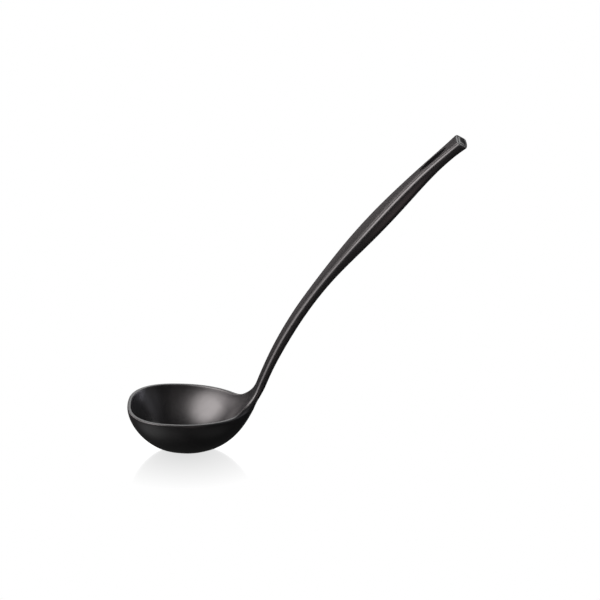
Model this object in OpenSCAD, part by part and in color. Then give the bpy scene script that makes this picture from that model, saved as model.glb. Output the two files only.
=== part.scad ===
// Soup ladle in black nylon: a moulded bowl and a moulded handle, joined on a steel strip inside them.
// The origin is the centre of the bowl's foot. +X runs towards the handle and +Z is up. Millimetres.

/* [Bowl] */
// Reach of the rim from the foot's centre to the tip
tip_reach = 41.3; // [36:0.1:50]
// Reach of the rim's ellipse from the foot's centre towards the handle
heel_reach = 46.5; // [43:0.5:50]
// Half of the bowl's width over the rim
bowl_half_w = 40.8; // [36:0.1:48]
// How far the widest place lies from the foot's centre towards the tip
widest_back = 2.5; // [0:0.5:5]
// Fullness of the tip's outline, where 2 is an ellipse
tip_fullness = 2.5; // [2:0.1:3]
// Height of the rim over the foot's centre
rim_h = 35; // [30:0.1:40]
// Fall of the rim towards the handle, in degrees
rim_fall = 1.7; // [0:0.1:4]
// Wall of the bowl at the rim
bowl_wall = 2.8; // [2:0.1:4]
// Thickness of the bowl's floor
floor_t = 3; // [2:0.1:4.5]
// Depth to which the round bottom is cut flat as a foot
foot_cut = 0.5; // [0.3:0.1:1]
// Fullness of the bowl's floor towards the tip, where 0.55 is an ellipse
floor_fullness = 0.5; // [0.4:0.01:0.6]
// Fullness of the bowl's floor towards the handle
heel_fullness = 0.59; // [0.4:0.01:0.65]
// Fullness of the bowl's wall under the rim, where 0.55 is an ellipse
wall_fullness = 0.38; // [0.35:0.01:0.6]
// Round on the rim's two edges
lip_r = 0.7; // [0.3:0.1:1]

/* [Neck] */
// Place of the seam's top edge along X
seam_x = 56.3; // [54:0.1:60]
// Height of the seam's top edge
seam_z = 60.2; // [57:0.1:68]
// Slope of the neck at the seam, in degrees
neck_slope = 67.8; // [62:0.2:72]
// Straight length of the neck's edge below the seam
neck_len = 10; // [4:0.5:12]
// Where on the rim the throat begins, in degrees round the bowl from the handle
throat_from = 38; // [32:1:46]
// Fullness of the curve that carries the neck's back down into the bowl
root_fullness = 0.6; // [0.5:0.01:0.7]
// Pull of the throat's curve along the rim
throat_rim_pull = 9; // [6:0.5:12]
// Pull of the throat's curve down the neck
throat_neck_pull = 14; // [8:0.5:16]

/* [Handle] */
// Radius of the bend over the neck
bend_r = 288; // [200:1:500]
// Turn of the bend over the neck, in degrees
bend_turn = 12.9; // [8:0.1:18]
// Radius of the grip's long bow
grip_r = 666; // [450:1:1000]
// Turn of the grip's long bow, in degrees
grip_turn = 12.3; // [8:0.1:16]
// Straight length at the end
tail_len = 14.5; // [12:0.5:20]
// Width of the neck and of the slim handle
neck_w = 18.8; // [16:0.1:24]
// Thickness of the neck at the seam
neck_t = 4.8; // [4:0.1:6]
// Thickness of the slim handle over the neck
slim_t = 5.5; // [4.8:0.1:7]
// Length over which the neck thickens to the slim handle
slim_from = 36; // [20:1:60]
// Width of the grip at its widest
grip_w = 26.8; // [22:0.1:32]
// Thickness of the grip at its thickest
grip_t = 9; // [6:0.1:11]
// Width of the handle's end
end_w = 23.5; // [19:0.5:28]
// Thickness of the handle's end
end_t = 7; // [6:0.1:9]
// Distance from the seam to the grip's widest place
widest_at = 129; // [110:1:150]
// Distance from the seam to the grip's thickest place
thickest_at = 150; // [130:1:160]
// Length over which the grip's width swells and shrinks again
width_swell = 132; // [100:2:140]
// Length over which the grip's thickness swells and shrinks again
thickness_swell = 154; // [110:2:160]
// Length of the flare at the end
flare_len = 24; // [16:1:40]
// Tilt of the end face from square, in degrees
end_tilt = 18.4; // [0:0.2:24]
// Rise of the rounded top face at its middle
top_crown = 0.8; // [0.2:0.1:1]
// Drop of the rounded underside at its middle
under_crown = 0.5; // [0.2:0.1:1]
// Round on the handle's long edges
edge_r = 1.6; // [0.8:0.1:2.2]

/* [Hang slot] */
// Length of the oval hang slot
slot_len = 24; // [14:0.5:28]
// Width of the oval hang slot at its middle
slot_w = 10; // [5:0.1:12]
// Wall between the hang slot and the end plug's socket
slot_wall = 3.5; // [3:0.1:10]

/* [Core strip] */
// Width of the steel strip
strip_w = 8; // [5:0.5:10]
// Thickness of the steel strip
strip_t = 1.5; // [1:0.1:1.8]
// Depth of the strip below the seam, inside the bowl's neck
strip_tang = 20; // [12:0.5:22]
// Wall between the strip's upper end and the hang slot
strip_stop = 8; // [4:0.5:40]
// Diameter of the holes that key the strip into the handle
key_d = 4; // [2.5:0.1:4.5]
// Number of those holes
key_count = 3; // [2:1:5]
// Gap between the steel and the nylon moulded round it
mould_gap = 0.1; // [0.05:0.05:0.2]

/* [Anchor pins] */
// Diameter of the pins that key the strip into the bowl
pin_d = 2.5; // [1.5:0.1:3.5]
// Number of those pins
pin_count = 2; // [1:1:3]
// How far the pins stand out of each face of the strip
pin_stand = 0.8; // [0.4:0.1:0.8]
// Gap between the pins and the strip's holes
pin_gap = 0.05; // [0.02:0.01:0.1]

/* [End plug] */
// Wall of the handle round the end plug
plug_wall = 1.6; // [1.2:0.1:2.2]
// Depth of the end plug in the handle
plug_len = 7; // [5:0.5:9]
// How far the plug's face lies below the handle's end
plug_inset = 0.3; // [0:0.1:0.8]
// Gap between the plug and its socket
plug_gap = 0.1; // [0.05:0.05:0.2]

/* [Hidden] */
nylon_black = [0.09, 0.09, 0.095];
plug_black = [0.07, 0.07, 0.075];
steel_grey = [0.72, 0.73, 0.74];
pin_grey = [0.6, 0.61, 0.63];
$fn = 48;

// Slopes and lengths along the handle's top line
mid_slope = neck_slope - bend_turn;
end_slope = mid_slope - grip_turn;
bend_len = bend_r * bend_turn * PI / 180;
grip_len = grip_r * grip_turn * PI / 180;
handle_len = bend_len + grip_len + tail_len;

// Centre of the hang slot and upper end of the strip, along the top line
slot_at = handle_len - plug_len - slot_wall - slot_len / 2;
strip_end = slot_at - slot_len / 2 - strip_stop;

// Depth of the strip's two faces under the top line
strip_top = (neck_t - strip_t) / 2;
strip_under = strip_top + strip_t;

// Corners of the handle's top line, each as [x, z]
seam = [seam_x, seam_z];
bend_centre = seam - bend_r * square_to(neck_slope);
bend_end = bend_centre + bend_r * square_to(mid_slope);
grip_centre = bend_end - grip_r * square_to(mid_slope);
grip_end = grip_centre + grip_r * square_to(end_slope);
handle_end = grip_end + tail_len * along(end_slope);

// Share of the side face's depth, and of its round, at each point down the side
SIDE = [[0, 0], [0.08, 0.55], [0.28, 1], [0.72, 1], [0.92, 0.55], [1, 0]];
side_last = len(SIDE) - 1;

// Finest lengths and counts of the faceted skins
station_step = 4;
top_steps = 6;
profile_steps = 14;
throat_steps = 12;
rim_steps = 26;
// How fast the neck's crown dies out down into the bowl
crown_fade = 6;
// Rounds of halving that find a height on a curve
halvings = 24;
// First step of each wall's curve, which leaves a small flat at the middle of the bowl
pole_step = 0.07;
// Share of an even spread that the meridians have there
pole_spread = 0.5;
// Length that takes a cutting tool clear of the surface
over = 1;
big = 60;

// Unit vector along a slope, and the one square to it that points out of the top face
function along(slope) = [cos(slope), sin(slope)];
function square_to(slope) = [-sin(slope), cos(slope)];

function degrees_of(arc, radius) = arc / radius * 180 / PI;
function mix(a, b, share) = a + (b - a) * share;
function unit(v) = v / norm(v);
function smooth(share) = share * share * (3 - 2 * share);
// Point on the cubic curve that four points c draw
function on_cubic(c, t) =
    c[0] * pow(1 - t, 3) + 3 * c[1] * t * pow(1 - t, 2) + 3 * c[2] * t * t * (1 - t) + c[3] * pow(t, 3);
// Where on a rising curve in a plane its height is reached, found by halving
function reached(c, height, low, high, rounds) =
    let (middle = (low + high) / 2)
    rounds == 0 ? middle
    : on_cubic(c, middle).y < height ? reached(c, height, middle, high, rounds - 1)
    : reached(c, height, low, middle, rounds - 1);

// Slope and place of the top line at a distance from the seam
function slope_at(s) =
    s < 0 ? neck_slope
    : s < bend_len ? neck_slope - degrees_of(s, bend_r)
    : s < bend_len + grip_len ? mid_slope - degrees_of(s - bend_len, grip_r)
    : end_slope;
function line_at(s) =
    s < 0 ? seam + s * along(neck_slope)
    : s < bend_len ? bend_centre + bend_r * square_to(slope_at(s))
    : s < bend_len + grip_len ? grip_centre + grip_r * square_to(slope_at(s))
    : grip_end + (s - bend_len - grip_len) * along(end_slope);

// Width and thickness of the handle at a distance from the seam
function swell(s, at, span) = abs(s - at) < span / 2 ? (1 + cos(360 * (s - at) / span)) / 2 : 0;
function flare(s) = pow(max(0, 1 - (handle_len - s) / flare_len), 2);
function width_at(s) =
    neck_w + (grip_w - neck_w) * swell(s, widest_at, width_swell) + (end_w - neck_w) * flare(s);
function thickness_at(s) =
    mix(neck_t, slim_t, smooth(min(1, s / slim_from)))
    + (grip_t - slim_t) * swell(s, thickest_at, thickness_swell) + (end_t - slim_t) * flare(s);

// Point of a cross-section: side is across the handle, depth is under the top line
function on_section(s, side, depth) =
    let (
        lean = depth * tan(end_tilt) * flare(s),
        p = line_at(s) - depth * square_to(slope_at(s)) + lean * along(slope_at(s))
    )
    [p.x, side, p.y];

// Half of a cross-section from the middle of the top round the +Y side to the middle of the underside
function half_section(s) =
    let (h = width_at(s) / 2 - edge_r, t = thickness_at(s))
    concat(
        [for (i = [0 : top_steps - 1]) let (f = i / top_steps) [f * h, -top_crown * (1 - f * f)]],
        [for (k = SIDE) [h + edge_r * k[1], t * k[0]]],
        [for (i = [top_steps - 1 : -1 : 0]) let (f = i / top_steps) [f * h, t + under_crown * (1 - f * f)]]
    );
function section(s) =
    let (half = half_section(s), last = len(half) - 1)
    concat(
        [for (p = half) on_section(s, p[0], p[1])],
        [for (i = [last - 1 : -1 : 1]) on_section(s, -half[i][0], half[i][1])]
    );

// Rim of the bowl at an angle round it, inset from the outer edge
function rim_point(turn, inset) =
    let (
        to_heel = cos(turn) >= 0,
        reach = to_heel ? heel_reach + widest_back : tip_reach - widest_back,
        power = to_heel ? 1 : 2 / tip_fullness,
        x = sign(cos(turn)) * (reach - inset) * pow(abs(cos(turn)), power) - widest_back,
        y = (bowl_half_w - inset) * pow(abs(sin(turn)), power)
    )
    [x, y, rim_h - lip_r - x * tan(rim_fall)];

// Place on the neck at a distance below the seam, at a depth and at a share of the way out to its edge
function neck_edge(down, depth, share) =
    let (p = seam - down * along(neck_slope) - depth * square_to(neck_slope))
    [p.x, share * (neck_w / 2 - edge_r), p.y];
neck_down = [-cos(neck_slope), 0, -sin(neck_slope)];

// Curve of the throat, from the neck's edge round to the rim
function throat_point(share, depth, inset) =
    let (
        top = neck_edge(neck_len, depth, 1),
        rim = rim_point(throat_from, inset),
        before = rim_point(throat_from + 1, inset),
        heading = unit(rim - before)
    )
    on_cubic([top, top + throat_neck_pull * neck_down, rim + throat_rim_pull * heading, rim], share);

// Edge of the moulding from the middle of the seam to the tip. Each entry is
// [inner edge, outer edge, way the lip bulges, round of the lip, share of neck, share of crown].
bowl_edge = concat(
    [for (i = [0 : top_steps - 1]) let (f = i / top_steps)
        [neck_edge(0, 0, f), neck_edge(0, neck_t, f), [0, 1, 0], 0, 1, 1 - f * f]],
    [for (down = [0, neck_len / 2])
        [neck_edge(down, 0, 1), neck_edge(down, neck_t, 1), [0, 1, 0], edge_r, 1, 0]],
    [for (i = [0 : throat_steps - 1]) let (f = i / throat_steps)
        [throat_point(f, 0, bowl_wall), throat_point(f, neck_t, 0),
         unit([0, 1 - smooth(f), smooth(f)]), mix(edge_r, lip_r, smooth(f)), 1 - smooth(f), 0]],
    [for (i = [0 : rim_steps]) let (turn = mix(throat_from, 180, i / rim_steps))
        [rim_point(turn, bowl_wall), rim_point(turn, 0), [0, 0, 1], lip_r, 0, 0]]
);
edge_last = len(bowl_edge) - 1;

// Wall of the bowl from the middle of its floor out to one edge. Under the neck it follows the neck's
// own back or face, which starts at a depth under the seam, and the neck's crown dies out downwards.
// It leaves the middle at its own turn, so that no two walls run close together there.
function wall(edge, from_turn, floor_z, depth, neck_share, crown) =
    let (
        r = norm([edge.x, edge.y]),
        top = seam - depth * square_to(neck_slope),
        fullness = mix(floor_fullness, heel_fullness, (1 + edge.x / r) / 2),
        back = [[0, floor_z], [heel_fullness * top.x, floor_z],
                top - root_fullness * (top.y - floor_z) * along(neck_slope), top],
        side = [[0, floor_z], [fullness * r, floor_z],
                [r, mix(edge.z, floor_z, wall_fullness)], [r, edge.z]],
        end = reached(back, edge.z, 0, 1, halvings),
        fit = r / on_cubic(back, end).x
    )
    [for (j = [0 : profile_steps]) let (
            t = mix(pole_step, 1, j / profile_steps),
            b = on_cubic(back, end * t),
            p = mix(on_cubic(side, t), [b.x * fit, b.y], neck_share),
            turn = mix(from_turn, atan2(edge.y, edge.x), smooth(t)),
            rise = crown * pow(t, crown_fade) * square_to(neck_slope)
        ) [p.x * cos(turn) + rise.x, p.x * sin(turn), p.y + rise.y]];

// One meridian: up the outside, over the lip and down the inside
function meridian(i) =
    let (
        e = bowl_edge[i],
        from_turn = mix(atan2(e[0].y, e[0].x), 180 * i / edge_last, pole_spread),
        inside = wall(e[0], from_turn, floor_t, 0, e[4], top_crown * e[5])
    )
    concat(
        wall(e[1], from_turn, -foot_cut, neck_t, e[4], -under_crown * e[5]),
        [for (k = [side_last - 1 : -1 : 1]) mix(e[0], e[1], SIDE[k][0]) + e[2] * e[3] * SIDE[k][1]],
        [for (j = [profile_steps : -1 : 0]) inside[j]]
    );
function mirrored(points) = [for (p = points) [p.x, -p.y, p.z]];

// Closed skin through rings of points, capped flat at both ends
module skin(rings) {
    n = len(rings[0]);
    last = len(rings) - 1;
    points = [for (ring = rings, p = ring) p];
    sides = [for (i = [0 : last - 1], j = [0 : n - 1], half = [0, 1])
        let (a = i * n + j, b = i * n + (j + 1) % n)
        half == 0 ? [a, a + n, b] : [b, a + n, b + n]];
    caps = [[for (j = [0 : n - 1]) j], [for (j = [n - 1 : -1 : 0]) last * n + j]];
    polyhedron(points, concat(sides, caps));
}

// Moves its children to a place on the top line: X along the line, Z out of the top face
module on_line(s) {
    p = line_at(s);
    translate([p.x, 0, p.y]) rotate([0, -slope_at(s), 0]) children();
}

// Outline of the strip seen from the side, grown by a gap, between two places on the top line
function strip_outline(gap, from_s, to_s) =
    let (
        steps = ceil((to_s - from_s) / station_step),
        stops = [for (i = [0 : steps]) mix(from_s, to_s, i / steps)],
        top = strip_top - gap,
        under = strip_under + gap
    )
    concat(
        [for (s = stops) line_at(s) - top * square_to(slope_at(s))],
        [for (i = [steps : -1 : 0]) line_at(stops[i]) - under * square_to(slope_at(stops[i]))]
    );

// Flat bar that follows the handle's top line between two places, grown by a gap
module strip_bar(gap, from_s, to_s) {
    rotate([90, 0, 0])
    linear_extrude(strip_w + 2 * gap, center = true)
    polygon(strip_outline(gap, from_s, to_s));
}

// Round bars through the strip where the handle's nylon keys it, standing out of both faces
module keys(d, reach) {
    for (i = [1 : key_count])
        on_line(strip_end * i / (key_count + 1))
        translate([0, 0, -strip_under - reach])
        cylinder(d = d, h = strip_t + 2 * reach);
}

// Round bars through the strip's tang, standing out of both faces
module pins(gap, reach) {
    for (i = [1 : pin_count])
        on_line(-strip_tang * i / (pin_count + 1))
        translate([0, 0, -strip_under - reach])
        cylinder(d = pin_d + 2 * gap, h = strip_t + 2 * reach);
}

// Bar with round ends along X
module stadium(len_x, len_y, h) {
    r = len_y / 2;
    translate([-len_x / 2 + r, -r, 0]) cube([len_x - len_y, len_y, h]);
    for (side = [-1, 1]) translate([side * (len_x / 2 - r), 0, 0]) cylinder(r = r, h = h);
}

// Oval bar along X
module oval(len_x, len_y, h) {
    linear_extrude(h)
    polygon([for (i = [0 : $fn - 1]) let (a = 360 * i / $fn) [len_x / 2 * cos(a), len_y / 2 * sin(a)]]);
}

// Plug along the handle's end, cut to the tilt of the end face, grown by a gap
module plug_bar(gap, inset) {
    w = end_w - 2 * edge_r - 2 * plug_wall + 2 * gap;
    t = end_t - 2 * plug_wall + 2 * gap;
    difference() {
        on_line(handle_len)
            translate([-plug_len - gap, 0, -end_t / 2])
            rotate([0, 90, 0]) rotate([0, 0, 90])
            stadium(w, t, plug_len + end_t);
        translate([handle_end.x, 0, handle_end.y])
            rotate([0, -end_slope - end_tilt, 0])
            translate([-inset, -big / 2, -big / 2])
            cube(big);
    }
}

module bowl() {
    half = [for (i = [0 : edge_last]) meridian(i)];
    rings = concat(half, [for (i = [edge_last - 1 : -1 : 1]) mirrored(half[i])]);
    // The meridians become rings round the bowl, from the foot over the lip to the floor
    levels = [for (j = [0 : len(half[0]) - 1]) [for (m = rings) m[j]]];
    color(nylon_black)
    difference() {
        skin(levels);
        translate([-big / 2, -big / 2, -over]) cube([big, big, over]);
        strip_bar(mould_gap, -strip_tang - mould_gap, over);
        pins(mould_gap, pin_stand + mould_gap);
    }
}

module handle() {
    stations = ceil(handle_len / station_step);
    rings = [for (i = [stations : -1 : 0]) section(handle_len * i / stations)];
    color(nylon_black)
    difference() {
        skin(rings);
        difference() {
            strip_bar(mould_gap, -over, strip_end + mould_gap);
            keys(key_d - 2 * mould_gap, over);
        }
        on_line(slot_at)
            translate([0, 0, -grip_t])
            oval(slot_len, slot_w, 2 * grip_t);
        plug_bar(plug_gap, -over);
    }
}

module core_strip() {
    color(steel_grey)
    difference() {
        strip_bar(0, -strip_tang, strip_end);
        keys(key_d, over);
        pins(pin_gap, over);
    }
}

module anchor_pins() {
    color(pin_grey) pins(0, pin_stand);
}

module end_plug() {
    color(plug_black) plug_bar(0, plug_inset);
}

bowl();
handle();
core_strip();
anchor_pins();
end_plug();
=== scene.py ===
"""Soup ladle in satin black nylon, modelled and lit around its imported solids.

The bowl, the throat, the neck and the handle are modelled as one cage, so that they flow into each other.
The finished skin is then cut at the seam into the bowl and the handle. The frame is the part's own: the
origin is the centre of the bowl's foot, +X runs towards the handle and +Z is up. Lengths are in metres.
"""

import logging
import math
from collections.abc import Callable, Iterator
from dataclasses import dataclass
from enum import Enum

import bmesh
import bpy
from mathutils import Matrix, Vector


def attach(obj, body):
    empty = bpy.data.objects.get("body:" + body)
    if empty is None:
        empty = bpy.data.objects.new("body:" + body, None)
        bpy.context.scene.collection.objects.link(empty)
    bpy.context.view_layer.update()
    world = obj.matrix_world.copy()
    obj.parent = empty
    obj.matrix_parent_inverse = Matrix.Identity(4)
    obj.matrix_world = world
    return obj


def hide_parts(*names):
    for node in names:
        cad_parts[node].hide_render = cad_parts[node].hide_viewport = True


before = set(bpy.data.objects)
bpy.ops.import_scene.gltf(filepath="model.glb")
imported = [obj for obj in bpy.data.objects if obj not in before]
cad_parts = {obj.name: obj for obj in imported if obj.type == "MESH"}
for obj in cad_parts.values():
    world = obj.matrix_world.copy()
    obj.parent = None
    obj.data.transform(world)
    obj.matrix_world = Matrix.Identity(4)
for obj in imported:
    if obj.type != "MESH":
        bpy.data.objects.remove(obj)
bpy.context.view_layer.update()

LOG = logging.getLogger("soup_ladle")
MM = 0.001
WHITE = (1, 1, 1, 1)

Triple = tuple[float, float, float]
Socket = bpy.types.NodeSocket


class Wall(Enum):
    """The moulding's two sides.

    The bowl's outside runs on as the handle's underside, and its inside as the handle's top.
    """

    OUTER = 0
    INNER = 1


class Mark(Enum):
    """Whole-number marks that every cage vertex carries, and that an extrusion copies."""

    COLUMN = "column"
    WALL = "wall"
    ROW = "row"


class EndRow(Enum):
    """Row marks past the handle's own rows, in the socket at its end."""

    SOCKET_RIM = 90
    SOCKET_FLOOR = 91


class Kind(Enum):
    """What is picked on a cage, with the mesh's own list of it."""

    VERT = "verts"
    EDGE = "edges"
    FACE = "faces"


class Ramp(Enum):
    """How a value goes from one level to another."""

    EVEN = "LINEAR"
    EASED = "SMOOTHSTEP"


def smooth_step(share: float) -> float:
    """Returns a share from 0 to 1 eased at both ends."""
    return share * share * (3 - 2 * share)


def mix(first: float | Vector, last: float | Vector, share: float) -> float | Vector:
    """Returns the value at a share of the way from the first to the last."""
    return first + (last - first) * share


def on_cubic(points: list[Vector], t: float) -> Vector:
    """Point on a cubic curve.

    Args:
        points: The curve's four control points.
        t: Place along the curve, from 0 to 1.

    Returns:
        The point at that place.
    """
    weights = ((1 - t) ** 3, 3 * t * (1 - t) ** 2, 3 * t * t * (1 - t), t**3)
    return sum((point * weight for point, weight in zip(points, weights)), Vector((0, 0, 0)))


def is_sharp(edge: bmesh.types.BMEdge, angle: float) -> bool:
    """Tells whether two faces meet at an edge and turn by more than an angle there."""
    return len(edge.link_faces) == 2 and edge.calc_face_angle() > angle


def only(obj: bpy.types.Object) -> None:
    """Selects one object and makes it active.

    Args:
        obj: The object.
    """
    bpy.ops.object.select_all(action="DESELECT")
    bpy.context.view_layer.objects.active = obj
    obj.select_set(True)


@dataclass(frozen=True)
class TopLine:
    """Line along the middle of the handle's top face, measured from the seam."""

    seam: tuple[float, float] = (56.3 * MM, 60.2 * MM)
    neck_slope: float = math.radians(67.8)
    bend_r: float = 288 * MM
    bend_turn: float = math.radians(12.9)
    grip_r: float = 666 * MM
    grip_turn: float = math.radians(12.3)
    tail_len: float = 14.5 * MM

    @property
    def bend_len(self) -> float:
        """Length of the bend over the neck."""
        return self.bend_r * self.bend_turn

    @property
    def grip_len(self) -> float:
        """Length of the grip's long bow."""
        return self.grip_r * self.grip_turn

    @property
    def length(self) -> float:
        """Length from the seam to the handle's end."""
        return self.bend_len + self.grip_len + self.tail_len

    def slope(self, s: float) -> float:
        """Slope of the line.

        Args:
            s: Distance from the seam, negative down the neck.

        Returns:
            The slope in radians at that distance.
        """
        in_bend = min(max(s, 0), self.bend_len)
        in_grip = min(max(s - self.bend_len, 0), self.grip_len)
        return self.neck_slope - in_bend / self.bend_r - in_grip / self.grip_r

    def onward(self, s: float) -> Vector:
        """Returns the unit vector along the line."""
        return Vector((math.cos(self.slope(s)), 0, math.sin(self.slope(s))))

    def out(self, s: float) -> Vector:
        """Returns the unit vector out of the top face."""
        return Vector((-math.sin(self.slope(s)), 0, math.cos(self.slope(s))))

    def point(self, s: float) -> Vector:
        """Point of the line.

        Args:
            s: Distance from the seam, negative down the neck.

        Returns:
            The point at that distance.
        """
        seam = Vector((self.seam[0], 0, self.seam[1]))
        bend_end = seam + self.bend_r * (self.out(self.bend_len) - self.out(0))
        if s <= 0:
            return seam + s * self.onward(0)
        if s <= self.bend_len:
            return seam + self.bend_r * (self.out(s) - self.out(0))
        in_grip = min(s, self.bend_len + self.grip_len)
        place = bend_end + self.grip_r * (self.out(in_grip) - self.out(self.bend_len))
        return place + (s - in_grip) * self.onward(s)


class Cage:
    """A mesh under work in edit mode. Each tool acts on the vertices, edges or faces that are picked."""

    def __init__(self, obj: bpy.types.Object) -> None:
        """Opens an object in edit mode.

        Args:
            obj: The object.
        """
        self.obj = obj
        only(obj)
        bpy.ops.object.mode_set(mode="EDIT")
        bpy.ops.mesh.select_mode(type=Kind.VERT.name)

    def close(self) -> bpy.types.Object:
        """Leaves edit mode and returns the object."""
        bpy.ops.object.mode_set(mode="OBJECT")
        return self.obj

    def mesh(self) -> bmesh.types.BMesh:
        """Returns the mesh that is open in edit mode."""
        return bmesh.from_edit_mesh(self.obj.data)

    def mark(self, vert: bmesh.types.BMVert, mark: Mark) -> int:
        """Returns one of a vertex's marks."""
        return vert[self.mesh().verts.layers.int[mark.value]]

    def set_mark(self, mark: Mark, value: int) -> None:
        """Gives every picked vertex one mark.

        Args:
            mark: The mark.
            value: Its new value.
        """
        mesh = self.mesh()
        layer = mesh.verts.layers.int[mark.value]
        for vert in mesh.verts:
            if vert.select:
                vert[layer] = value

    def pick(self, kind: Kind, test: Callable) -> None:
        """Picks what passes a test, and nothing else.

        Args:
            kind: Whether vertices, edges or faces are picked.
            test: Tells whether one of them is picked.
        """
        bpy.ops.mesh.select_mode(type=kind.name)
        bpy.ops.mesh.select_all(action="DESELECT")
        mesh = self.mesh()
        found = [item for item in getattr(mesh, kind.value) if test(item)]
        for item in found:
            item.select_set(True)
        mesh.select_flush_mode()
        bmesh.update_edit_mesh(self.obj.data)

    def extrude(self, step: Vector = Vector((0, 0, 0))) -> None:
        """Extrudes what is picked by a step, and leaves the new part picked."""
        bpy.ops.mesh.extrude_region_move(TRANSFORM_OT_translate={"value": step})

    def move(self, step: Vector) -> None:
        """Moves what is picked."""
        bpy.ops.transform.translate(value=step)

    def scale(self, factors: Triple, centre: Vector) -> None:
        """Scales what is picked about a centre."""
        bpy.ops.transform.resize(value=factors, center_override=centre)

    def weigh(self, weight: float) -> None:
        """Gives every picked edge a share of the bevel's width."""
        bpy.ops.transform.edge_bevelweight(value=weight)

    def face_outwards(self) -> None:
        """Turns every face outwards."""
        bpy.ops.mesh.select_all(action="SELECT")
        bpy.ops.mesh.normals_make_consistent(inside=False)

    def put(self, target: Callable[[bmesh.types.BMVert], Vector]) -> None:
        """Moves each picked vertex to its own place.

        Args:
            target: Gives a vertex's new place.
        """
        mesh = self.mesh()
        mesh.verts.index_update()
        moves = {vert.index: target(vert) - vert.co for vert in mesh.verts if vert.select}
        for index, step in moves.items():
            self.pick(Kind.VERT, lambda vert, index=index: vert.index == index)
            self.move(step)
        self.pick(Kind.VERT, lambda vert: vert.index in moves)


@dataclass(frozen=True)
class Back:
    """The curves that carry the neck's two faces down into the bowl."""

    line: TopLine = TopLine()
    neck_t: float = 4.8 * MM
    floor_t: float = 3 * MM
    foot_cut: float = 0.5 * MM
    fullness: float = 0.59
    root_fullness: float = 0.6
    halvings: int = 30

    def floor(self, wall: Wall) -> float:
        """Returns the height of the bowl's floor or of its foot."""
        return self.floor_t if wall is Wall.INNER else -self.foot_cut

    def point(self, wall: Wall, t: float) -> Vector:
        """Point on one of the curves.

        Args:
            wall: The face.
            t: Place on the curve, 0 at the bowl's middle and 1 at the seam.

        Returns:
            The point at that place.
        """
        depth = 0 if wall is Wall.INNER else self.neck_t
        floor = self.floor(wall)
        top = self.line.point(0) - depth * self.line.out(0)
        root = top - self.root_fullness * (top.z - floor) * self.line.onward(0)
        return on_cubic([Vector((0, 0, floor)), Vector((self.fullness * top.x, 0, floor)), root, top], t)

    def reached(self, wall: Wall, height: float) -> float:
        """Place on a curve where it reaches a height, found by halving.

        Args:
            wall: The face.
            height: The height.

        Returns:
            The place, 0 at the bowl's middle and 1 at the seam.
        """
        low, high = 0.0, 1.0
        for _ in range(self.halvings):
            middle = (low + high) / 2
            low, high = (middle, high) if self.point(wall, middle).z < height else (low, middle)
        return low


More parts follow.
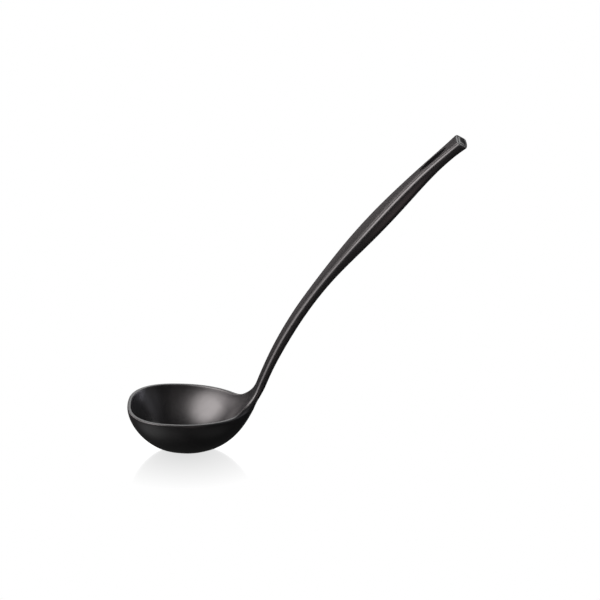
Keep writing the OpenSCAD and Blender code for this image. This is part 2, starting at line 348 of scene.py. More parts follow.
@dataclass(frozen=True)
class Cup:
    """The bowl: an egg-shaped shell with a flat foot, whose heel follows the neck's back."""

    back: Back = Back()
    tip_reach: float = 41.3 * MM
    heel_reach: float = 46.5 * MM
    half_w: float = 40.8 * MM
    widest_back: float = 2.5 * MM
    tip_fullness: float = 2.58
    rim_h: float = 35 * MM
    rim_fall: float = math.radians(1.7)
    wall: float = 2.8 * MM
    floor_fullness: float = 0.515
    wall_fullness: float = 0.38
    inner_lean: float = 0.06
    twist: float = math.radians(20)
    twist_from: float = math.radians(20)
    twist_past: float = math.radians(37)
    grow: float = 1.0085
    rim_grow: float = 1.0045
    rim_ease: int = 4
    columns: int = 40
    reach: int = 4
    heel_blend: float = 2.2
    stops: tuple[float, ...] = (0.92, 0.83, 0.74, 0.65, 0.56, 0.47, 0.38, 0.29, 0.2, 0.1)

    def rim(self, turn: float, inset: float) -> Vector:
        """Point of the rim.

        Args:
            turn: Angle round the bowl from the handle.
            inset: Distance in from the outer edge.

        Returns:
            The point on top of the rim.
        """
        to_heel = math.cos(turn) >= 0
        reach = self.heel_reach + self.widest_back if to_heel else self.tip_reach - self.widest_back
        power = 1 if to_heel else 2 / self.tip_fullness
        x = math.copysign((reach - inset) * abs(math.cos(turn)) ** power, math.cos(turn)) - self.widest_back
        y = math.copysign((self.half_w - inset) * abs(math.sin(turn)) ** power, math.sin(turn))
        return Vector((x, y, self.rim_h - x * math.tan(self.rim_fall)))

    def heel_share(self, column: int) -> float:
        """Returns how far a column follows the neck's back rather than the egg, from 0 to 1."""
        return max(0, 1 - max(0, abs(column) - 1) / self.heel_blend)

    def top(self, column: int, wall: Wall) -> Vector:
        """Top of a column at the rim's height.

        Args:
            column: The column's number round the bowl, 0 at the handle.
            wall: The face.

        Returns:
            The point on the rim, drawn out to the neck's back over the heel.
        """
        rim = self.rim(column * math.tau / self.columns, self.wall if wall is Wall.INNER else 0)
        share = self.heel_share(column)
        if share == 0:
            return rim
        flat = Vector((rim.x, rim.y, 0))
        back = self.back.point(wall, self.back.reached(wall, rim.z)).x / flat.normalized().x
        point = flat.normalized() * mix(flat.length, back, share)
        return Vector((point.x, point.y, rim.z))

    def turn_in(self, turn: float) -> float:
        """Turn of a column away from the handle, where it leaves the bowl's middle.

        Args:
            turn: Angle of the column's top round the bowl from the handle.

        Returns:
            The angle that is added to it at the bowl's middle.
        """
        rising = min(1, abs(turn) / self.twist_from)
        falling = 1 - max(0, abs(turn) - self.twist_past) / (math.pi - self.twist_past)
        return math.copysign(self.twist * rising * falling, turn)

    def on_wall(self, column: int, wall: Wall, t: float) -> Vector:
        """Point of the bowl's wall.

        Args:
            column: The column's number round the bowl, 0 at the handle.
            wall: The face.
            t: Place on the column, 0 at the bowl's middle and 1 at the rim.

        Returns:
            The point, a little outside the skin that the cage draws.
        """
        top, floor = self.top(column, wall), self.back.floor(wall)
        r, turn = math.hypot(top.x, top.y), math.atan2(top.y, top.x)
        fullness = mix(self.floor_fullness, self.back.fullness, (1 + top.x / r) / 2)
        lean = self.inner_lean if wall is Wall.INNER else 0
        under = Vector((r * (1 - lean), 0, mix(top.z, floor, self.wall_fullness)))
        side = [Vector((0, 0, floor)), Vector((fullness * r, 0, floor)), under, Vector((r, 0, top.z))]
        place = on_cubic(side, t)
        if self.heel_share(column) > 0:
            end = self.back.reached(wall, top.z)
            back = self.back.point(wall, end * t)
            back.x *= r / self.back.point(wall, end).x
            place = mix(place, back, self.heel_share(column))
        turn += self.turn_in(turn) * (1 - smooth_step(t))
        out = place.x * mix(self.grow, self.rim_grow, t**self.rim_ease)
        return Vector((out * math.cos(turn), out * math.sin(turn), place.z))

    def start(self) -> Cage:
        """Adds the rim's outer edge as a ring.

        Returns:
            The cage, with the ring picked and every vertex marked with its column.
        """
        bpy.ops.object.select_all(action="DESELECT")
        bpy.ops.mesh.primitive_circle_add(vertices=self.columns, radius=self.half_w, fill_type="NOTHING")
        obj = bpy.context.active_object
        for mark in Mark:
            obj.data.attributes.new(mark.value, "INT", "POINT")
        cage = Cage(obj)
        mesh = cage.mesh()
        layer = mesh.verts.layers.int[Mark.COLUMN.value]
        for vert in mesh.verts:
            vert[layer] = round(math.atan2(vert.co.y, vert.co.x) / math.tau * self.columns)
        cage.pick(Kind.VERT, lambda vert: True)
        return cage

    def ring(self, cage: Cage, wall: Wall, t: float) -> None:
        """Shapes the picked ring at a place up the wall."""
        cage.put(lambda vert: self.on_wall(cage.mark(vert, Mark.COLUMN), wall, t))

    def sink_wall(self, cage: Cage, wall: Wall) -> None:
        """Extrudes the picked ring down in smaller rings to the floor, and closes it there.

        Args:
            cage: The cage.
            wall: The face.
        """
        for stop in self.stops:
            cage.extrude()
            self.ring(cage, wall, stop)
        bpy.ops.mesh.edge_face_add()

    def build(self) -> Cage:
        """Builds the egg-shaped shell.

        Returns:
            The cage of the shell.
        """
        cage = self.start()
        self.ring(cage, Wall.OUTER, 1)
        self.sink_wall(cage, Wall.OUTER)
        cage.pick(Kind.EDGE, lambda edge: edge.is_boundary)
        cage.extrude()
        cage.set_mark(Mark.WALL, Wall.INNER.value)
        self.ring(cage, Wall.INNER, 1)
        self.sink_wall(cage, Wall.INNER)
        return cage


@dataclass(frozen=True)
class StripRow:
    """One row of cage points across the neck or the handle, by its middle and its edge on each face."""

    middle: dict[Wall, Vector]
    edge: dict[Wall, Vector]
    flatness: float

    def place(self, wall: Wall, share: float) -> Vector:
        """Point of the row.

        Args:
            wall: The face.
            share: Place across the row, from -1 at one edge to 1 at the other.

        Returns:
            The point, on a flat arch from edge to edge.
        """
        middle, edge = self.middle[wall], self.edge[wall]
        point = mix(middle, edge, abs(share) ** self.flatness)
        point.y = edge.y * share
        return point


@dataclass(frozen=True)
class Stem:
    """The neck and the handle, drawn up out of the bowl's heel."""

    cup: Cup = Cup()
    neck_len: float = 10 * MM
    neck_w: float = 18.8 * MM
    slim_t: float = 5.5 * MM
    slim_from: float = 36 * MM
    grip_w: float = 26.8 * MM
    grip_t: float = 9 * MM
    end_w: float = 23.5 * MM
    end_t: float = 7 * MM
    widest_at: float = 129 * MM
    thickest_at: float = 150 * MM
    width_swell: float = 132 * MM
    thickness_swell: float = 154 * MM
    flare_len: float = 24 * MM
    end_tilt: float = math.radians(18.4)
    end_bow: float = 0.45 * MM
    top_crown: float = 0.11
    end_crown: float = 0.05
    crown_fade: float = 40 * MM
    crown_flatness: float = 2.4
    under_crown: float = 0.5 * MM
    edge_r: float = 1.8 * MM
    grip_edge_r: float = 2.4 * MM
    lip_r: float = 0.6 * MM
    lip_outer_r: float = 0.85 * MM
    throat_extra_r: float = 1.1 * MM
    throat_from: float = math.radians(38)
    rim_step: float = math.radians(1)
    throat_rim_pull: float = 9 * MM
    throat_neck_pull: float = 14 * MM
    throat_shares: tuple[float, ...] = (0.72, 0.42, 0.18)
    throat_flatness: float = 3
    back_stops: tuple[float, ...] = (0.76, 0.82, 0.87)
    neck_stops: tuple[float, ...] = (10 * MM, 5 * MM)
    handle_stops: tuple[float, ...] = tuple(s * MM for s in (0, 8, 16, 25, *range(36, 157, 12), 167, 176))
    slot_lead: float = 5 * MM
    end_stops: tuple[float, ...] = (6 * MM, 1.5 * MM)
    slot_len: float = 24 * MM
    slot_w: float = 10 * MM
    slot_at: float = 199.82 * MM
    slot_r: float = 0.5 * MM
    slot_draw: float = 1.05
    slot_turn: float = math.radians(60)
    plug_wall: float = 1.6 * MM
    socket_w: float = 17.3 * MM
    socket_depth: float = 2 * MM
    socket_r: float = 0.25 * MM
    end_r: float = 1.1 * MM
    end_out: float = 0.25 * MM
    sharp_from: float = math.radians(40)
    weight_digits: int = 2

    @property
    def line(self) -> TopLine:
        """Line along the middle of the top face."""
        return self.cup.back.line

    @property
    def reach(self) -> int:
        """Number of columns from the middle of the handle to its edge."""
        return self.cup.reach

    @property
    def slot_reach(self) -> int:
        """Number of columns from the middle of the handle to the slot's side."""
        return self.reach // 2

    def swell(self, s: float, at: float, span: float) -> float:
        """Returns how far a swelling has come at a distance from the seam, from 0 to 1."""
        return (1 + math.cos(math.tau * (s - at) / span)) / 2 if abs(s - at) < span / 2 else 0

    def flare(self, s: float) -> float:
        """Returns how far the end's flare has come, from 0 to 1."""
        return max(0, 1 - (self.line.length - s) / self.flare_len) ** 2

    def width(self, s: float) -> float:
        """Returns the handle's width at a distance from the seam."""
        grip = (self.grip_w - self.neck_w) * self.swell(s, self.widest_at, self.width_swell)
        return self.neck_w + grip + (self.end_w - self.neck_w) * self.flare(s)

    def thickness(self, s: float) -> float:
        """Thickness of the neck or the handle.

        Args:
            s: Distance from the seam, negative down the neck.

        Returns:
            The thickness at that distance.
        """
        slim = mix(self.cup.back.neck_t, self.slim_t, smooth_step(min(1, max(0, s / self.slim_from))))
        grip = (self.grip_t - self.slim_t) * self.swell(s, self.thickest_at, self.thickness_swell)
        return slim + grip + (self.end_t - self.slim_t) * self.flare(s)

    def crown(self, s: float) -> float:
        """Returns how far the top face is arched at a distance from the seam."""
        left = min(1, max(0, (self.line.length - s) / self.crown_fade))
        return mix(self.end_crown, self.top_crown, smooth_step(left)) * self.width(s) / 2

    def throat(self, share: float, wall: Wall) -> Vector:
        """Point on the throat's edge, which runs from the neck's side round to the rim.

        Args:
            share: Place along the edge, 0 at the neck and 1 at the rim.
            wall: The face.

        Returns:
            The edge's point on the +Y side.
        """
        depth, inset = (0, self.cup.wall) if wall is Wall.INNER else (self.cup.back.neck_t, 0)
        lift = Vector((0, 0, self.lip_r))
        top = self.line.point(-self.neck_len) - depth * self.line.out(0)
        top.y = self.neck_w / 2 - self.edge_r
        rim = self.cup.rim(self.throat_from, inset) - lift
        before = self.cup.rim(self.throat_from + self.rim_step, inset) - lift
        above_rim = rim + self.throat_rim_pull * (rim - before).normalized()
        below_top = top - self.throat_neck_pull * self.line.onward(0)
        eased = smooth_step(share)
        bulge = Vector((0, 1 - eased, eased)).normalized() * mix(self.edge_r, self.lip_r, eased)
        return on_cubic([top, below_top, above_rim, rim], share) + bulge

    def throat_rows(self) -> Iterator[StripRow]:
        """Gives the rows of the throat, from the rim up.

        Yields:
            The rows, one after the other.
        """
        for share, stop in zip(self.throat_shares, self.back_stops):
            yield StripRow(
                {wall: self.cup.back.point(wall, stop) for wall in Wall},
                {wall: self.throat(share, wall) for wall in Wall},
                self.throat_flatness,
            )

    def row(self, s: float) -> StripRow:
        """Row of the neck or the handle.

        Args:
            s: Distance from the seam, negative down the neck.

        Returns:
            The row, square to the line, and tilted and bowed at the flared end.
        """
        thick, flare = self.thickness(s), self.flare(s)
        depths = {
            Wall.INNER: (-self.crown(s), 0),
            Wall.OUTER: (thick + self.under_crown, thick),
        }
        inward = math.tan(self.end_tilt) * flare * self.line.onward(s) - self.line.out(s)
        middle = {wall: self.line.point(s) + pair[0] * inward for wall, pair in depths.items()}
        edge = {wall: self.line.point(s) + pair[1] * inward for wall, pair in depths.items()}
        for point in edge.values():
            point.y = self.width(s) / 2
        middle[Wall.OUTER] += self.end_bow * flare**2 * self.line.onward(s)
        return StripRow(middle, edge, self.crown_flatness)

    @property
    def slot_stops(self) -> list[float]:
        """Distances of the slot's two ends and its middle from the seam."""
        return [self.slot_at - self.slot_len / 2, self.slot_at, self.slot_at + self.slot_len / 2]

    def stations(self) -> list[float]:
        """Distances of the handle's rows from the seam, with three rows along the slot.

        Returns:
            The distances, the last a little past the handle's end.
        """
        slot = [self.slot_stops[0] - self.slot_lead, *self.slot_stops]
        end = [self.line.length - stop for stop in self.end_stops]
        return [*self.handle_stops, *slot, *end, self.line.length + self.end_out]

    @property
    def rows_below(self) -> int:
        """Number of rows below the first station."""
        return len(self.throat_shares) + len(self.neck_stops)

    def slot_rows(self) -> list[int]:
        """Returns the row marks of the slot's two ends and its middle."""
        stations = self.stations()
        return [stations.index(stop) + self.rows_below + 1 for stop in self.slot_stops]

    @property
    def last_row(self) -> int:
        """Row mark of the handle's end."""
        return len(self.stations()) + self.rows_below

    def is_heel_lip(self, cage: Cage, face: bmesh.types.BMFace) -> bool:
        """Tells whether a face is on top of the lip, over the heel.

        Args:
            cage: The cage.
            face: The face.

        Returns:
            Whether the face joins the two walls inside the handle's columns.
        """
        walls = {cage.mark(vert, Mark.WALL) for vert in face.verts}
        columns = [abs(cage.mark(vert, Mark.COLUMN)) for vert in face.verts]
        return len(walls) == len(Wall) and max(columns) <= self.reach

    def place(self, cage: Cage, vert: bmesh.types.BMVert, row: StripRow) -> Vector:
        """Returns a row vertex's place, from its marks."""
        return row.place(Wall(cage.mark(vert, Mark.WALL)), cage.mark(vert, Mark.COLUMN) / self.reach)

    def draw_up(self, cage: Cage) -> None:
        """Extrudes the lip over the heel into the throat, the neck and the handle.

        Args:
            cage: The cage of the bowl.
        """
        rows = [*self.throat_rows(), *(self.row(-down) for down in self.neck_stops)]
        rows += [self.row(s) for s in self.stations()]
        cage.pick(Kind.FACE, lambda face: self.is_heel_lip(cage, face))
        for number, row in enumerate(rows, start=1):
            cage.extrude()
            cage.set_mark(Mark.ROW, number)
            cage.put(lambda vert, row=row: self.place(cage, vert, row))
            bpy.ops.mesh.select_mode(type=Kind.FACE.name)

    def in_slot(self, cage: Cage, vert: bmesh.types.BMVert) -> bool:
        """Tells whether a vertex is in the patch that the slot is cut out of."""
        in_columns = abs(cage.mark(vert, Mark.COLUMN)) <= self.slot_reach
        return in_columns and cage.mark(vert, Mark.ROW) in self.slot_rows()

    def slot_place(self, cage: Cage, vert: bmesh.types.BMVert) -> Vector:
        """Place on the slot's oval for a vertex of its patch.

        Args:
            cage: The cage.
            vert: The vertex.

        Returns:
            The place, on the face that the vertex is on.
        """
        wall, share = Wall(cage.mark(vert, Mark.WALL)), cage.mark(vert, Mark.COLUMN) / self.slot_reach
        end = self.slot_rows().index(cage.mark(vert, Mark.ROW)) - 1
        turn = share * (self.slot_turn if end else math.pi / 2)
        side = math.sin(turn) * self.slot_w / 2 * self.slot_draw
        along = end * math.cos(turn) * self.slot_len / 2 * self.slot_draw
        row = self.row(self.slot_at + along)
        return row.place(wall, side / row.edge[wall].y)

    def cut_slot(self, cage: Cage) -> None:
        """Shapes the oval slot on both faces and opens it through the handle.

        Args:
            cage: The cage of the bowl and the handle.
        """
        cage.pick(Kind.VERT, lambda vert: self.in_slot(cage, vert))
        cage.put(lambda vert: self.slot_place(cage, vert))
        cage.pick(Kind.FACE, lambda face: all(self.in_slot(cage, vert) for vert in face.verts))
        bpy.ops.mesh.delete(type="FACE")
        cage.pick(Kind.EDGE, lambda edge: edge.is_boundary)
        bpy.ops.mesh.bridge_edge_loops()

    def sink_socket(self, cage: Cage) -> bpy.types.Object:
        """Sinks the plug's socket into the end face.

        Args:
            cage: The cage of the bowl and the handle.

        Returns:
            A patch over the socket's floor, from which the plug is drawn out.
        """
        end, last = self.line.length, self.last_row
        cage.pick(Kind.FACE, lambda face: all(cage.mark(vert, Mark.ROW) == last for vert in face.verts))
        bpy.ops.mesh.inset(thickness=self.plug_wall, depth=0)
        cage.set_mark(Mark.ROW, EndRow.SOCKET_RIM.value)
        cage.scale((1, self.socket_w / (self.end_w - 2 * self.plug_wall), 1), self.line.point(end))
        cage.extrude(-self.socket_depth * self.line.onward(end))
        cage.set_mark(Mark.ROW, EndRow.SOCKET_FLOOR.value)
        bpy.ops.mesh.duplicate()
        bpy.ops.mesh.separate(type="SELECTED")
        return next(obj for obj in bpy.context.selected_objects if obj is not cage.obj)

    def long_edge_r(self, row: int, wall: Wall) -> float:
        """Rounding of a long edge.

        Args:
            row: The row mark.
            wall: The face that the edge bounds.

        Returns:
            The radius: the lip's on the rim, larger up the neck, and largest on the grip and on the
            throat's outer side.
        """
        if row > self.rows_below:
            s = self.stations()[row - self.rows_below - 1]
            return mix(self.edge_r, self.grip_edge_r, self.swell(s, self.thickest_at, self.thickness_swell))
        share = row / self.rows_below
        if wall is Wall.INNER:
            return mix(self.lip_r, self.edge_r, share)
        extra = self.throat_extra_r * math.sin(math.pi * share)
        return mix(self.lip_outer_r, self.edge_r, share) + extra

    def rounding(self, cage: Cage, edge: bmesh.types.BMEdge) -> float:
        """Rounding of a sharp edge, by where its marks say that it is.

        Args:
            cage: The cage.
            edge: The edge.

        Returns:
            The radius.
        """
        rows = [cage.mark(vert, Mark.ROW) for vert in edge.verts]
        if max(rows) >= EndRow.SOCKET_RIM.value:
            return self.socket_r
        if min(rows) == self.last_row:
            return self.end_r
        if all(self.in_slot(cage, vert) for vert in edge.verts):
            return self.slot_r
        wall = Wall(cage.mark(edge.verts[0], Mark.WALL))
        return sum(self.long_edge_r(row, wall) for row in rows) / 2

    def weigh_edges(self, cage: Cage) -> None:
        """Gives each sharp edge its rounding, as a share of the grip's.

        Args:
            cage: The whole cage.
        """
        mesh = cage.mesh()
        mesh.edges.index_update()
        groups = {}
        for edge in mesh.edges:
            if is_sharp(edge, self.sharp_from):
                weight = round(self.rounding(cage, edge) / self.grip_edge_r, self.weight_digits)
                groups.setdefault(weight, set()).add(edge.index)
        for weight, numbers in groups.items():
            cage.pick(Kind.EDGE, lambda edge, numbers=numbers: edge.index in numbers)
            cage.weigh(weight)


class NodeSheet:
    """Node tree of a material or a world, with short calls that add and join nodes."""

    NOISE_ROUGHNESS = 0.55

    def __init__(self, owner: bpy.types.Material | bpy.types.World) -> None:
        """Opens the tree of a material or a world."""
        owner.use_nodes = True
        self.tree = owner.node_tree

    def add(self, kind: str, inputs: dict | None = None, **settings: object) -> bpy.types.Node:
        """Adds a node.

        Args:
            kind: The node's type name.
            inputs: Values, or outputs to join, by the name or number of the input.
            settings: The node's own settings.

        Returns:
            The new node.
        """
        node = self.tree.nodes.new(kind)
        for name, value in settings.items():
            setattr(node, name, value)
        for name, value in (inputs or {}).items():
            self.feed(node.inputs[name], value)
        return node

    def feed(self, socket: Socket, value: object) -> None:
        """Sets an input to a value, or joins it to another node's output.

        Args:
            socket: The input.
            value: The value or the output.
        """
        if isinstance(value, Socket):
            self.tree.links.new(value, socket)
        else:
            socket.default_value = value

    def place(self) -> Socket:
        """Returns the object's own coordinates."""
        return self.add("ShaderNodeTexCoord").outputs["Object"]

    def length(self, vector: Socket) -> Socket:
        """Returns a vector's length."""
        return self.add("ShaderNodeVectorMath", {0: vector}, operation="LENGTH").outputs["Value"]

    def noise(self, vector: Socket, size: float, detail: float) -> Socket:
        """Returns a noise with patches of about a size, in the vector's own unit."""
        inputs = {"Vector": vector, "Scale": 1 / size, "Detail": detail, "Roughness": self.NOISE_ROUGHNESS}
        return self.add("ShaderNodeTexNoise", inputs).outputs["Fac"]

    def ramp(
        self,
        value: Socket,
        ends: tuple[float, float],
        levels: tuple[float, float],
        form: Ramp = Ramp.EVEN,
    ) -> Socket:
        """Turns a value into another that goes from level to level, and stays level past its ends.

        Args:
            value: The value.
            ends: The value's two ends.
            levels: The result at each of them.
            form: How it goes from one to the other.

        Returns:
            The result.
        """
        names = ("Value", "From Min", "From Max", "To Min", "To Max")
        inputs = dict(zip(names, (value, *ends, *levels)))
        return self.add("ShaderNodeMapRange", inputs, interpolation_type=form.value).outputs["Result"]

    def blend(self, share: Socket, first: Triple, last: Triple) -> Socket:
        """Blends two colours.

        Args:
            share: Share of the last colour, from 0 to 1.
            first: The colour at 0.
            last: The colour at 1.

        Returns:
            The blended colour.
        """
        inputs = {"Factor_Float": share, "A_Color": (*first, 1), "B_Color": (*last, 1)}
        node = self.add("ShaderNodeMix", data_type="RGBA")
        for socket in node.inputs:
            if socket.identifier in inputs:
                self.feed(socket, inputs[socket.identifier])
        return next(socket for socket in node.outputs if socket.identifier == "Result_Color")

    def mix_shaders(self, share: Socket, first: bpy.types.Node, last: bpy.types.Node) -> Socket:
        """Returns the mix of two shader nodes, by a share of the last."""
        inputs = {"Fac": share, 1: first.outputs[0], 2: last.outputs[0]}
        return self.add("ShaderNodeMixShader", inputs).outputs["Shader"]


@dataclass(frozen=True)
class Finish:
    """What every finish has: two tones, a span of roughness, a fine relief and whether it is metal."""

    name: str
    dark: Triple
    light: Triple
    roughness: tuple[float, float]
    relief: float
    metallic: float = 0.0
    sheen_ends: tuple[float, float] = (0.3, 0.7)

    def patterns(self, sheet: NodeSheet) -> tuple[Socket, ...]:
        """Returns the finish's own patterns of tone, roughness and relief."""
        raise NotImplementedError

    def make(self) -> bpy.types.Material:
        """Builds the finish.

        Returns:
            The material.
        """
        material = bpy.data.materials.new(self.name)
        sheet = NodeSheet(material)
        tone, sheen, grain = self.patterns(sheet)
        bump = sheet.add("ShaderNodeBump", {"Strength": 1.0, "Distance": self.relief, "Height": grain})
        inputs = {
            "Base Color": sheet.blend(tone, self.dark, self.light),
            "Roughness": sheet.ramp(sheen, self.sheen_ends, self.roughness),
            "Metallic": self.metallic,
            "Normal": bump.outputs["Normal"],
        }
        shader = sheet.tree.nodes["Principled BSDF"]
        for name, value in inputs.items():
            sheet.feed(shader.inputs[name], value)
        return material

    def put_on(self, obj: bpy.types.Object) -> None:
        """Gives an object this finish alone."""
        obj.data.materials.clear()
        obj.data.materials.append(self.make())


@dataclass(frozen=True)
class SatinNylon(Finish):
    """Black nylon from a finely blasted mould: satin, with a faint mottle in its sheen and a fine grain."""

    dark: Triple = (0.0035, 0.0035, 0.0038)
    light: Triple = (0.0055, 0.0053, 0.0055)
    roughness: tuple[float, float] = (0.29, 0.35)
    relief: float = 0.0025 * MM
    cloud_size: float = 7 * MM
    cloud_detail: float = 4
    mottle_size: float = 3 * MM
    mottle_detail: float = 3
    grain_size: float = 0.5 * MM
    grain_detail: float = 2

    def patterns(self, sheet: NodeSheet) -> tuple[Socket, ...]:
        """Patterns of the nylon.

        Args:
            sheet: The material's nodes.

        Returns:
            Clouds of tone, a mottle in the sheen and a fine grain.
        """
        place = sheet.place()
        return (
            sheet.noise(place, self.cloud_size, self.cloud_detail),
            sheet.noise(place, self.mottle_size, self.mottle_detail),
            sheet.noise(place, self.grain_size, self.grain_detail),
        )


@dataclass(frozen=True)
class DrawnSteel(Finish):
    """Bright steel with fine lines along one direction, as rolled strip and drawn wire have."""

    roughness: tuple[float, float] = (0.28, 0.42)
    relief: float = 0.004 * MM
    metallic: float = 1.0
    lines_per_m: Triple = (200, 4000, 200)
    line_detail: float = 3

    def patterns(self, sheet: NodeSheet) -> tuple[Socket, ...]:
        """Patterns of the steel.

        Args:
            sheet: The material's nodes.

        Returns:
            The lines, for tone, roughness and relief alike.
        """
        stretch = sheet.add("ShaderNodeMapping", {"Vector": sheet.place(), "Scale": self.lines_per_m})
        lines = sheet.noise(stretch.outputs["Vector"], size=1, detail=self.line_detail)
        return lines, lines, lines


FINISHES = {
    "bowl": SatinNylon("bowl_nylon"),
    "handle": SatinNylon("handle_nylon"),
    "end_plug": SatinNylon("plug_nylon", grain_size=0.35 * MM, roughness=(0.25, 0.3)),
    "core_strip": DrawnSteel("strip_steel", (0.66, 0.67, 0.69), (0.78, 0.79, 0.80)),
    "anchor_pins": DrawnSteel(
        "pin_steel", (0.54, 0.55, 0.57), (0.66, 0.67, 0.69), lines_per_m=(3000, 300, 3000)
    ),
}


@dataclass(frozen=True)
class Moulding:
    """The continuous skin of the ladle, its cut into the bowl and the handle, and the plug in its end."""

    stem: Stem = Stem()
    bevel_steps: int = 2
    levels: int = 3
    plug_gap: float = 0.12 * MM
    plug_shrink: float = 0.99
    plug_inset: float = 0.2 * MM
    dome_steps: tuple[float, ...] = (0.3 * MM, 0.2 * MM)
    dome_inset: float = 0.8 * MM
    plug_r: float = 0.25 * MM
    crease_from: float = math.radians(50)

    def build(self) -> list[bpy.types.Object]:
        """Models and dresses every nylon piece.

        Returns:
            The finished pieces.
        """
        pieces = self.model()
        self.dress(pieces)
        return list(pieces.values())

    def model(self) -> dict[str, bpy.types.Object]:
        """Models every nylon piece.

        Returns:
            The pieces by the name of the node that each stands for.
        """
        stem = self.stem
        cage = stem.cup.build()
        stem.draw_up(cage)
        stem.cut_slot(cage)
        patch = stem.sink_socket(cage)
        cage.face_outwards()
        stem.weigh_edges(cage)
        skin = self.round_off(cage.close(), stem.grip_edge_r)
        bowl = self.part_off(skin, keep_above=False)
        handle = self.part_off(skin, keep_above=True)
        bpy.data.objects.remove(skin)
        return {"bowl": bowl, "handle": handle, "end_plug": self.draw_plug(patch)}

    def round_off(self, obj: bpy.types.Object, width: float) -> bpy.types.Object:
        """Rounds the weighted edges of a cage and subdivides it into a smooth skin.

        Args:
            obj: The cage's object.
            width: The bevel's width at full weight.

        Returns:
            The same object.
        """
        only(obj)
        bevel = obj.modifiers.new("edges", "BEVEL")
        bevel.limit_method = "WEIGHT"
        bevel.width = width
        bevel.segments = self.bevel_steps
        bevel.use_clamp_overlap = False
        bpy.ops.object.modifier_apply(modifier=bevel.name)
        subdivide = obj.modifiers.new("skin", "SUBSURF")
        subdivide.levels = subdivide.render_levels = self.levels
        bpy.ops.object.modifier_apply(modifier=subdivide.name)
        return obj

    def part_off(self, skin: bpy.types.Object, keep_above: bool) -> bpy.types.Object:
        """Copies the skin and cuts the copy off at the seam.

        Args:
            skin: The whole skin.
            keep_above: Whether the handle's side is kept, or the bowl's.

        Returns:
            The closed piece on one side of the seam.
        """
        only(skin)
        bpy.ops.object.duplicate()
        cage = Cage(bpy.context.active_object)
        bpy.ops.mesh.select_all(action="SELECT")
        bpy.ops.mesh.bisect(
            plane_co=self.stem.line.point(0),
            plane_no=self.stem.line.onward(0),
            use_fill=True,
            clear_inner=keep_above,
            clear_outer=not keep_above,
        )
        return self.smooth(cage.close())

    def draw_plug(self, patch: bpy.types.Object) -> bpy.types.Object:
        """Draws the plug out of the patch over its socket's floor.

        Args:
            patch: The patch.

        Returns:
            The plug.
        """
        stem, end = self.stem, self.stem.line.length
        onward = stem.line.onward(end)
        cage = Cage(patch)
        bpy.ops.mesh.select_all(action="SELECT")
        narrow = 1 - 2 * self.plug_gap / stem.socket_w
        cage.scale((self.plug_shrink, narrow, self.plug_shrink), stem.line.point(end - stem.socket_depth))
        cage.move(self.plug_gap * onward)
        cage.extrude((stem.socket_depth - self.plug_inset) * onward)
        for rise in self.dome_steps:
            bpy.ops.mesh.inset(thickness=self.dome_inset, depth=rise)
        cage.face_outwards()
        cage.pick(Kind.EDGE, lambda edge: is_sharp(edge, stem.sharp_from))
        cage.weigh(1)
        return self.smooth(self.round_off(cage.close(), self.plug_r))

    def smooth(self, piece: bpy.types.Object) -> bpy.types.Object:
        """Shades a piece smooth between its creases.

        Args:
            piece: The piece.

        Returns:
            The same piece.
        """
        only(piece)
        bpy.ops.object.shade_smooth_by_angle(angle=self.crease_from)
        return piece

    def dress(self, pieces: dict[str, bpy.types.Object]) -> None:
        """Names the pieces, puts each in its node's place on the ladle's body, and gives it its finish.

        Args:
            pieces: The pieces by the name of the node that each stands for.
        """
        for node, piece in pieces.items():
            piece.name = f"{node}_moulding"
            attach(piece, "root")
            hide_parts(node)
            FINISHES[node].put_on(piece)


@dataclass(frozen=True)
class Core:
    """The steel inside the nylon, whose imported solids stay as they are."""

    nodes: tuple[str, ...] = ("core_strip", "anchor_pins")

    def build(self) -> list[bpy.types.Object]:
        """Dresses every steel solid.

        Returns:
            The solids.
        """
        solids = [bpy.data.objects[node] for node in self.nodes]
        for solid in solids:
            FINISHES[solid.name].put_on(solid)
        return solids


@dataclass(frozen=True)
class Glow:
    """One soft oval patch of studio light, given by where it stands as seen from the ladle.

    Azimuth 0 is the camera's side and 90 the handle's. Angles are in degrees.
    """

    name: str
    azimuth: float
    elevation: float
    half_width: float
    half_height: float
    strength: float
    tint: Triple = (1, 1, 1)
    core: float = 0.35

    @property
    def rotation(self) -> Triple:
        """Turn of the patch's own axes."""
        return (-math.radians(self.elevation), 0, math.radians(self.azimuth))

    @property
    def heading(self) -> Vector:
        """Direction towards the patch."""
        turn, tilt = math.radians(self.azimuth), math.radians(self.elevation)
        return Vector((math.sin(turn) * math.cos(tilt), -math.cos(turn) * math.cos(tilt), math.sin(tilt)))

    @property
    def size(self) -> Triple:
        """Half the patch's width, depth and height on a sphere of radius 1."""
        return (math.sin(math.radians(self.half_width)), 1, math.sin(math.radians(self.half_height)))

    @property
    def colour(self) -> Vector:
        """Light in the patch's middle."""
        return self.strength * Vector(self.tint)

    def add_to(self, total: Socket | Triple, sheet: NodeSheet, ray: Socket) -> Socket:
        """Adds the patch to the light of the patches before it.

        Args:
            total: The light so far.
            sheet: The world's nodes.
            ray: Direction that the light is looked for in.

        Returns:
            The light with this patch.
        """
        inputs = {"Vector": ray, "Location": self.heading, "Rotation": self.rotation, "Scale": self.size}
        away = sheet.add("ShaderNodeMapping", inputs, vector_type="TEXTURE", label=self.name)
        share = sheet.ramp(sheet.length(away.outputs["Vector"]), (1.0, self.core), (0.0, 1.0), Ramp.EASED)
        inputs = {0: share, 1: self.colour, 2: total}
        return sheet.add("ShaderNodeVectorMath", inputs, operation="MULTIPLY_ADD").outputs["Vector"]


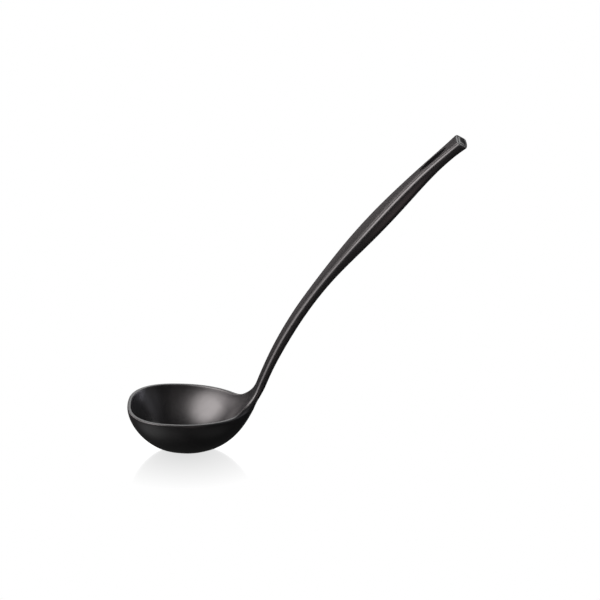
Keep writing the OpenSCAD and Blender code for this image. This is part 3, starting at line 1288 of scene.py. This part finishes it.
@dataclass(frozen=True)
class Studio:
    """Camera, floor and light."""

    camera_at: Triple = (82.89 * MM, -1879.39 * MM, 798.83 * MM)
    elevation: float = math.radians(20)
    lens: float = 169.0
    view_depth: float = 100.0
    floor_size: float = 20.0
    sheen: float = 0.30
    sheen_roughness: float = 0.12
    sheen_from: float = 5 * MM
    sheen_to: float = 72 * MM
    ambient: float = 0.04
    glows: tuple[Glow, ...] = (
        Glow("key, inside of the bowl", -50, 40, 34, 42, 10.4, (1.07, 1.0, 1.0), core=0.5),
        Glow("ridge of the neck", -80, 6, 26, 17, 4.6, (1.09, 1.0, 1.02), core=0.45),
        Glow("lip and lower ridge", -54, 1, 22, 9, 3.6, (1.06, 1.0, 1.0)),
        Glow("ridge of the grip", -77, 28, 16, 14, 1.8, (1.09, 1.0, 1.02)),
        Glow("back left", -113, 20, 22, 16, 1.8, (1.09, 1.0, 1.0)),
        Glow("high back left", -138, 34, 20, 22, 5.0, (1.09, 1.0, 1.0)),
        Glow("top of the lip", 178, 42, 24, 16, 3.6),
        Glow("inside of the tip", 116, -2, 32, 18, 3.6, (1.02, 1.0, 1.12)),
        Glow("right fill", 82, 24, 44, 36, 0.75, (1.02, 1.0, 1.08)),
        Glow("high back right", 145, 38, 16, 13, 5.5),
        Glow("side of the upper grip", 16, -11, 16, 12, 1.3, (1.25, 0.96, 0.97)),
        Glow("front of the bowl", -42, -28, 22, 16, 0.25),
        Glow("underside of the bowl", -62, -50, 50, 36, 0.62, core=0.2),
        Glow("below right", 55, -52, 36, 24, 0.15),
        Glow("top edge of the end", 180, 20, 14, 12, 1.7, core=0.6),
        Glow("top face of the handle", -160, -3, 18, 9, 0.22, (1.12, 1.0, 1.02)),
    )

    def build(self) -> None:
        """Sets up the camera, the floor and the light."""
        self.add_camera()
        self.add_floor()
        self.add_light()
        bpy.context.scene.view_settings.view_transform = "Standard"

    def add_camera(self) -> None:
        """Adds the camera at the photograph's viewing angle."""
        bpy.ops.object.camera_add(location=self.camera_at, rotation=(math.pi / 2 - self.elevation, 0, 0))
        camera = bpy.context.active_object
        camera.data.lens = self.lens
        camera.data.clip_end = self.view_depth
        bpy.context.scene.camera = camera

    def add_floor(self) -> None:
        """Adds a white floor with a faint shine that fades away from the bowl's foot."""
        bpy.ops.object.select_all(action="DESELECT")
        bpy.ops.mesh.primitive_plane_add(size=self.floor_size)
        floor = bpy.context.active_object
        floor.name = "floor"
        floor.visible_diffuse = floor.visible_glossy = False
        material = bpy.data.materials.new("white_floor")
        floor.data.materials.append(material)
        sheet = NodeSheet(material)
        sheet.tree.nodes.clear()
        away = sheet.length(sheet.place())
        fade = sheet.ramp(away, (self.sheen_from, self.sheen_to), (self.sheen, 0.0))
        white = sheet.add("ShaderNodeEmission", {"Color": WHITE, "Strength": 1.0})
        shine = sheet.add("ShaderNodeBsdfGlossy", {"Color": WHITE, "Roughness": self.sheen_roughness})
        sheet.add("ShaderNodeOutputMaterial", {"Surface": sheet.mix_shaders(fade, white, shine)})

    def add_light(self) -> None:
        """Lights the ladle by soft patches all round, in front of a white background."""
        world = bpy.data.worlds.new("studio")
        bpy.context.scene.world = world
        sheet = NodeSheet(world)
        sheet.tree.nodes.clear()
        ray = sheet.add("ShaderNodeTexCoord").outputs["Generated"]
        total: Socket | Triple = (self.ambient,) * 3
        for glow in self.glows:
            total = glow.add_to(total, sheet, ray)
        lit = sheet.add("ShaderNodeBackground", {"Color": total, "Strength": 1.0})
        white = sheet.add("ShaderNodeBackground", {"Color": WHITE, "Strength": 1.0})
        seen = sheet.add("ShaderNodeLightPath").outputs["Is Camera Ray"]
        sheet.add("ShaderNodeOutputWorld", {"Surface": sheet.mix_shaders(seen, lit, white)})


def main() -> None:
    """Builds the ladle and its studio."""
    logging.basicConfig(level=logging.INFO)
    for assembly in (Moulding(), Core()):
        for piece in assembly.build():
            LOG.info("%s has %d faces", piece.name, len(piece.data.polygons))
    Studio().build()


if __name__ == "__main__":
    main()
